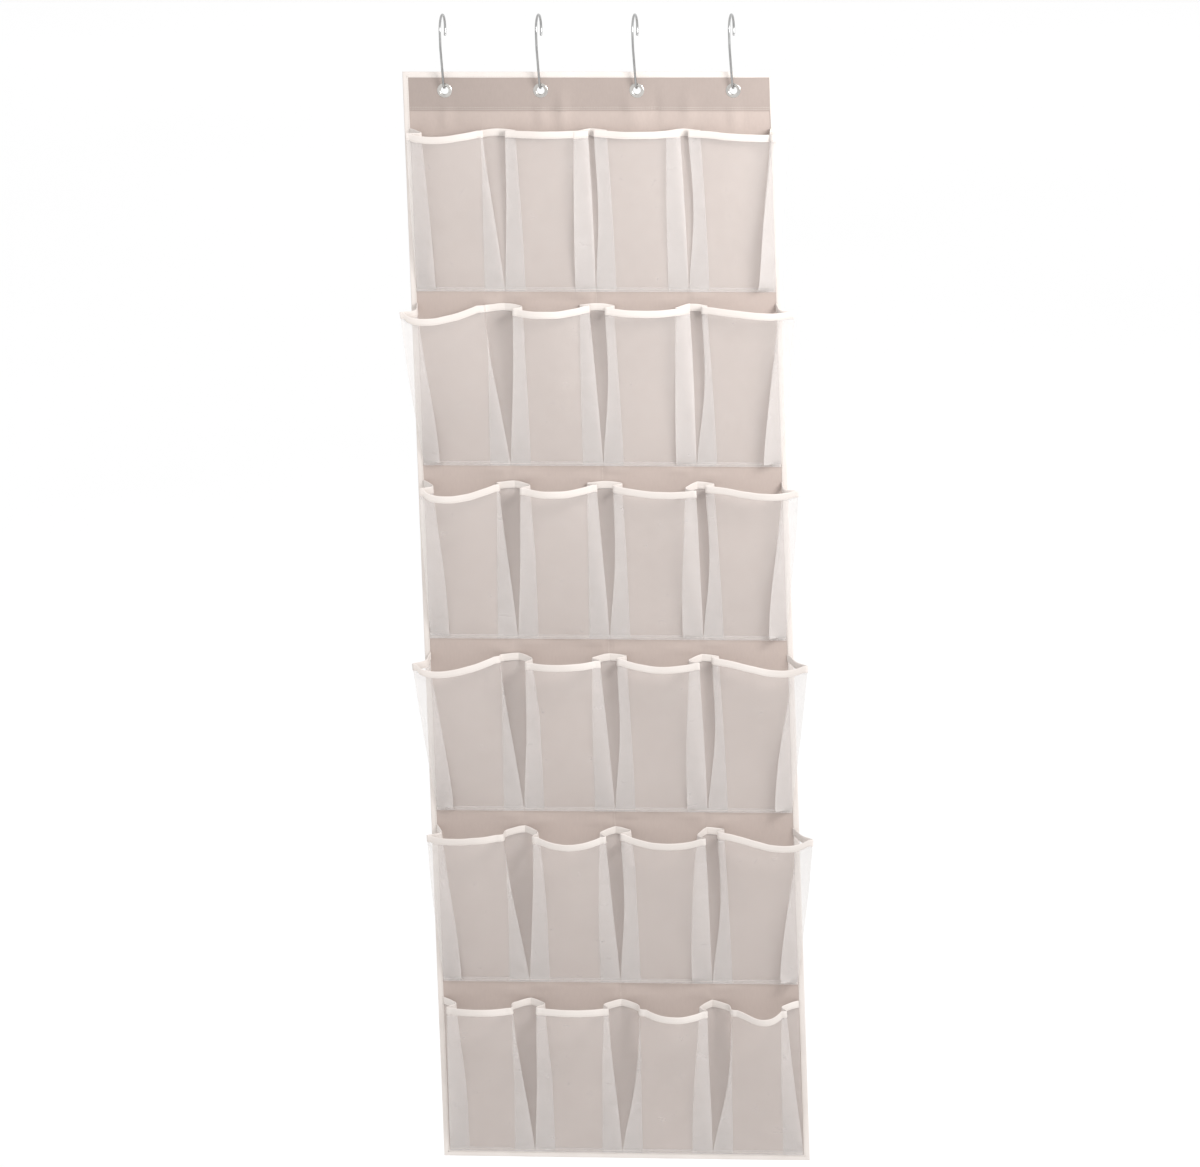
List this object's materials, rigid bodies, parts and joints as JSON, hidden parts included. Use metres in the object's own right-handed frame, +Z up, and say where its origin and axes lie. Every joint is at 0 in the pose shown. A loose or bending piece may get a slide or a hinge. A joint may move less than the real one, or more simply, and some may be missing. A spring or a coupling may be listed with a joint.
{
  "type": "hanging shoe organizer",
  "caption": "Hanging fabric shoe organizer: taupe back panel with rows of pleated sheer pockets, cream binding, and wire hooks through eyelets for a closet rail.",
  "frame": {"origin": "on the axis of the closet rail that the hooks hang on, midway between the four hooks", "axes": "+Z up; -Y is the front, where the pocket mouths stand off the panel; +X to the viewer's right, along the rail"},
  "size_m": [0.5278, 0.0637, 1.524],
  "materials": {
    "panel_cloth": "matt non-woven or plain woven cloth, taupe",
    "binding": "cream woven tape, folded over the edge and stitched",
    "pocket_mesh": "frosted sheer fabric, translucent",
    "hook_wire": "bright plated round wire",
    "eyelet_metal": "bright rolled metal"
  },
  "bodies": {
    "hook_1": {"hook_1": "hook_wire"},
    "hook_2": {"hook_2": "hook_wire"},
    "hook_3": {"hook_3": "hook_wire"},
    "hook_4": {"hook_4": "hook_wire"},
    "row_1": {"header_band": "panel_cloth", "eyelet_washers": "eyelet_metal", "eyelet_1": "eyelet_metal", "eyelet_2": "eyelet_metal", "eyelet_3": "eyelet_metal", "eyelet_4": "eyelet_metal", "back_panel_1": "panel_cloth", "edge_binding_1": "binding", "pocket_gussets_1": "pocket_mesh", "rim_tape_1": "binding"},
    "row_2": {"back_panel_2": "panel_cloth", "edge_binding_2": "binding", "pocket_gussets_2": "pocket_mesh", "rim_tape_2": "binding"},
    "row_3": {"back_panel_3": "panel_cloth", "edge_binding_3": "binding", "pocket_gussets_3": "pocket_mesh", "rim_tape_3": "binding"},
    "row_4": {"back_panel_4": "panel_cloth", "edge_binding_4": "binding", "pocket_gussets_4": "pocket_mesh", "rim_tape_4": "binding"},
    "row_5": {"back_panel_5": "panel_cloth", "edge_binding_5": "binding", "pocket_gussets_5": "pocket_mesh", "rim_tape_5": "binding"},
    "row_6": {"back_panel_6": "panel_cloth", "edge_binding_6": "binding", "pocket_gussets_6": "pocket_mesh", "rim_tape_6": "binding"},
    "pocket_r1c1": {"pocket_front_r1c1": "pocket_mesh"},
    "pocket_r1c2": {"pocket_front_r1c2": "pocket_mesh"},
    "pocket_r1c3": {"pocket_front_r1c3": "pocket_mesh"},
    "pocket_r1c4": {"pocket_front_r1c4": "pocket_mesh"},
    "pocket_r2c1": {"pocket_front_r2c1": "pocket_mesh"},
    "pocket_r2c2": {"pocket_front_r2c2": "pocket_mesh"},
    "pocket_r2c3": {"pocket_front_r2c3": "pocket_mesh"},
    "pocket_r2c4": {"pocket_front_r2c4": "pocket_mesh"},
    "pocket_r3c1": {"pocket_front_r3c1": "pocket_mesh"},
    "pocket_r3c2": {"pocket_front_r3c2": "pocket_mesh"},
    "pocket_r3c3": {"pocket_front_r3c3": "pocket_mesh"},
    "pocket_r3c4": {"pocket_front_r3c4": "pocket_mesh"},
    "pocket_r4c1": {"pocket_front_r4c1": "pocket_mesh"},
    "pocket_r4c2": {"pocket_front_r4c2": "pocket_mesh"},
    "pocket_r4c3": {"pocket_front_r4c3": "pocket_mesh"},
    "pocket_r4c4": {"pocket_front_r4c4": "pocket_mesh"},
    "pocket_r5c1": {"pocket_front_r5c1": "pocket_mesh"},
    "pocket_r5c2": {"pocket_front_r5c2": "pocket_mesh"},
    "pocket_r5c3": {"pocket_front_r5c3": "pocket_mesh"},
    "pocket_r5c4": {"pocket_front_r5c4": "pocket_mesh"},
    "pocket_r6c1": {"pocket_front_r6c1": "pocket_mesh"},
    "pocket_r6c2": {"pocket_front_r6c2": "pocket_mesh"},
    "pocket_r6c3": {"pocket_front_r6c3": "pocket_mesh"},
    "pocket_r6c4": {"pocket_front_r6c4": "pocket_mesh"}
  },
  "joints": [
    {"name": "panel_swing", "type": "hinge", "parent": "hook_1", "child": "row_1", "pos_m": [-0.1875, 0, -0.0722], "axis": [1, 0, 0], "range_deg": [-15, 15]},
    {"name": "hook_2_turn", "type": "hinge", "parent": "row_1", "child": "hook_2", "pos_m": [-0.0625, 0, -0.0722], "axis": [1, 0, 0], "range_deg": [-15, 15]},
    {"name": "hook_3_turn", "type": "hinge", "parent": "row_1", "child": "hook_3", "pos_m": [0.0625, 0, -0.0722], "axis": [1, 0, 0], "range_deg": [-15, 15]},
    {"name": "hook_4_turn", "type": "hinge", "parent": "row_1", "child": "hook_4", "pos_m": [0.1875, 0, -0.0722], "axis": [1, 0, 0], "range_deg": [-15, 15]},
    {"name": "fold_1", "type": "hinge", "parent": "row_1", "child": "row_2", "pos_m": [0, 0.0005, -0.35275], "axis": [1, 0, 0], "range_deg": [-60, 120]},
    {"name": "fold_2", "type": "hinge", "parent": "row_2", "child": "row_3", "pos_m": [0, 0.0005, -0.58325], "axis": [-1, 0, 0], "range_deg": [-120, 60]},
    {"name": "fold_3", "type": "hinge", "parent": "row_3", "child": "row_4", "pos_m": [0, 0.0005, -0.81375], "axis": [1, 0, 0], "range_deg": [-60, 120]},
    {"name": "fold_4", "type": "hinge", "parent": "row_4", "child": "row_5", "pos_m": [0, 0.0005, -1.04425], "axis": [-1, 0, 0], "range_deg": [-120, 60]},
    {"name": "fold_5", "type": "hinge", "parent": "row_5", "child": "row_6", "pos_m": [0, 0.0005, -1.27475], "axis": [1, 0, 0], "range_deg": [-60, 120]},
    {"name": "pocket_r1c1_close", "type": "hinge", "parent": "row_1", "child": "pocket_r1c1", "pos_m": [-0.1765, -0.0036, -0.343], "axis": [-1, 0, 0], "range_deg": [0, 10.5], "deforming": ["pocket_gussets_1", "rim_tape_1"]},
    {"name": "pocket_r1c2_close", "type": "hinge", "parent": "row_1", "child": "pocket_r1c2", "pos_m": [-0.0595, -0.0036, -0.343], "axis": [-1, 0, 0], "range_deg": [0, 10.5], "deforming": ["pocket_gussets_1", "rim_tape_1"]},
    {"name": "pocket_r1c3_close", "type": "hinge", "parent": "row_1", "child": "pocket_r1c3", "pos_m": [0.0595, -0.0036, -0.343], "axis": [-1, 0, 0], "range_deg": [0, 10.5], "deforming": ["pocket_gussets_1", "rim_tape_1"]},
    {"name": "pocket_r1c4_close", "type": "hinge", "parent": "row_1", "child": "pocket_r1c4", "pos_m": [0.1765, -0.0036, -0.343], "axis": [-1, 0, 0], "range_deg": [0, 10.5], "deforming": ["pocket_gussets_1", "rim_tape_1"]},
    {"name": "pocket_r2c1_close", "type": "hinge", "parent": "row_2", "child": "pocket_r2c1", "pos_m": [-0.1765, -0.0036, -0.5735], "axis": [-1, 0, 0], "range_deg": [0, 10.5], "deforming": ["pocket_gussets_2", "rim_tape_2"]},
    {"name": "pocket_r2c2_close", "type": "hinge", "parent": "row_2", "child": "pocket_r2c2", "pos_m": [-0.0595, -0.0036, -0.5735], "axis": [-1, 0, 0], "range_deg": [0, 10.5], "deforming": ["pocket_gussets_2", "rim_tape_2"]},
    {"name": "pocket_r2c3_close", "type": "hinge", "parent": "row_2", "child": "pocket_r2c3", "pos_m": [0.0595, -0.0036, -0.5735], "axis": [-1, 0, 0], "range_deg": [0, 10.5], "deforming": ["pocket_gussets_2", "rim_tape_2"]},
    {"name": "pocket_r2c4_close", "type": "hinge", "parent": "row_2", "child": "pocket_r2c4", "pos_m": [0.1765, -0.0036, -0.5735], "axis": [-1, 0, 0], "range_deg": [0, 10.5], "deforming": ["pocket_gussets_2", "rim_tape_2"]},
    {"name": "pocket_r3c1_close", "type": "hinge", "parent": "row_3", "child": "pocket_r3c1", "pos_m": [-0.1765, -0.0036, -0.804], "axis": [-1, 0, 0], "range_deg": [0, 10.5], "deforming": ["pocket_gussets_3", "rim_tape_3"]},
    {"name": "pocket_r3c2_close", "type": "hinge", "parent": "row_3", "child": "pocket_r3c2", "pos_m": [-0.0595, -0.0036, -0.804], "axis": [-1, 0, 0], "range_deg": [0, 10.5], "deforming": ["pocket_gussets_3", "rim_tape_3"]},
    {"name": "pocket_r3c3_close", "type": "hinge", "parent": "row_3", "child": "pocket_r3c3", "pos_m": [0.0595, -0.0036, -0.804], "axis": [-1, 0, 0], "range_deg": [0, 10.5], "deforming": ["pocket_gussets_3", "rim_tape_3"]},
    {"name": "pocket_r3c4_close", "type": "hinge", "parent": "row_3", "child": "pocket_r3c4", "pos_m": [0.1765, -0.0036, -0.804], "axis": [-1, 0, 0], "range_deg": [0, 10.5], "deforming": ["pocket_gussets_3", "rim_tape_3"]},
    {"name": "pocket_r4c1_close", "type": "hinge", "parent": "row_4", "child": "pocket_r4c1", "pos_m": [-0.1765, -0.0036, -1.0345], "axis": [-1, 0, 0], "range_deg": [0, 10.5], "deforming": ["pocket_gussets_4", "rim_tape_4"]},
    {"name": "pocket_r4c2_close", "type": "hinge", "parent": "row_4", "child": "pocket_r4c2", "pos_m": [-0.0595, -0.0036, -1.0345], "axis": [-1, 0, 0], "range_deg": [0, 10.5], "deforming": ["pocket_gussets_4", "rim_tape_4"]},
    {"name": "pocket_r4c3_close", "type": "hinge", "parent": "row_4", "child": "pocket_r4c3", "pos_m": [0.0595, -0.0036, -1.0345], "axis": [-1, 0, 0], "range_deg": [0, 10.5], "deforming": ["pocket_gussets_4", "rim_tape_4"]},
    {"name": "pocket_r4c4_close", "type": "hinge", "parent": "row_4", "child": "pocket_r4c4", "pos_m": [0.1765, -0.0036, -1.0345], "axis": [-1, 0, 0], "range_deg": [0, 10.5], "deforming": ["pocket_gussets_4", "rim_tape_4"]},
    {"name": "pocket_r5c1_close", "type": "hinge", "parent": "row_5", "child": "pocket_r5c1", "pos_m": [-0.1765, -0.0036, -1.265], "axis": [-1, 0, 0], "range_deg": [0, 10.5], "deforming": ["pocket_gussets_5", "rim_tape_5"]},
    {"name": "pocket_r5c2_close", "type": "hinge", "parent": "row_5", "child": "pocket_r5c2", "pos_m": [-0.0595, -0.0036, -1.265], "axis": [-1, 0, 0], "range_deg": [0, 10.5], "deforming": ["pocket_gussets_5", "rim_tape_5"]},
    {"name": "pocket_r5c3_close", "type": "hinge", "parent": "row_5", "child": "pocket_r5c3", "pos_m": [0.0595, -0.0036, -1.265], "axis": [-1, 0, 0], "range_deg": [0, 10.5], "deforming": ["pocket_gussets_5", "rim_tape_5"]},
    {"name": "pocket_r5c4_close", "type": "hinge", "parent": "row_5", "child": "pocket_r5c4", "pos_m": [0.1765, -0.0036, -1.265], "axis": [-1, 0, 0], "range_deg": [0, 10.5], "deforming": ["pocket_gussets_5", "rim_tape_5"]},
    {"name": "pocket_r6c1_close", "type": "hinge", "parent": "row_6", "child": "pocket_r6c1", "pos_m": [-0.1765, -0.0036, -1.4955], "axis": [-1, 0, 0], "range_deg": [0, 10.5], "deforming": ["pocket_gussets_6", "rim_tape_6"]},
    {"name": "pocket_r6c2_close", "type": "hinge", "parent": "row_6", "child": "pocket_r6c2", "pos_m": [-0.0595, -0.0036, -1.4955], "axis": [-1, 0, 0], "range_deg": [0, 10.5], "deforming": ["pocket_gussets_6", "rim_tape_6"]},
    {"name": "pocket_r6c3_close", "type": "hinge", "parent": "row_6", "child": "pocket_r6c3", "pos_m": [0.0595, -0.0036, -1.4955], "axis": [-1, 0, 0], "range_deg": [0, 10.5], "deforming": ["pocket_gussets_6", "rim_tape_6"]},
    {"name": "pocket_r6c4_close", "type": "hinge", "parent": "row_6", "child": "pocket_r6c4", "pos_m": [0.1765, -0.0036, -1.4955], "axis": [-1, 0, 0], "range_deg": [0, 10.5], "deforming": ["pocket_gussets_6", "rim_tape_6"]}
  ],
  "couplings": [
    {"joint": "hook_2_turn", "follows": "panel_swing", "ratio": -1},
    {"joint": "hook_3_turn", "follows": "panel_swing", "ratio": -1},
    {"joint": "hook_4_turn", "follows": "panel_swing", "ratio": -1}
  ]
}
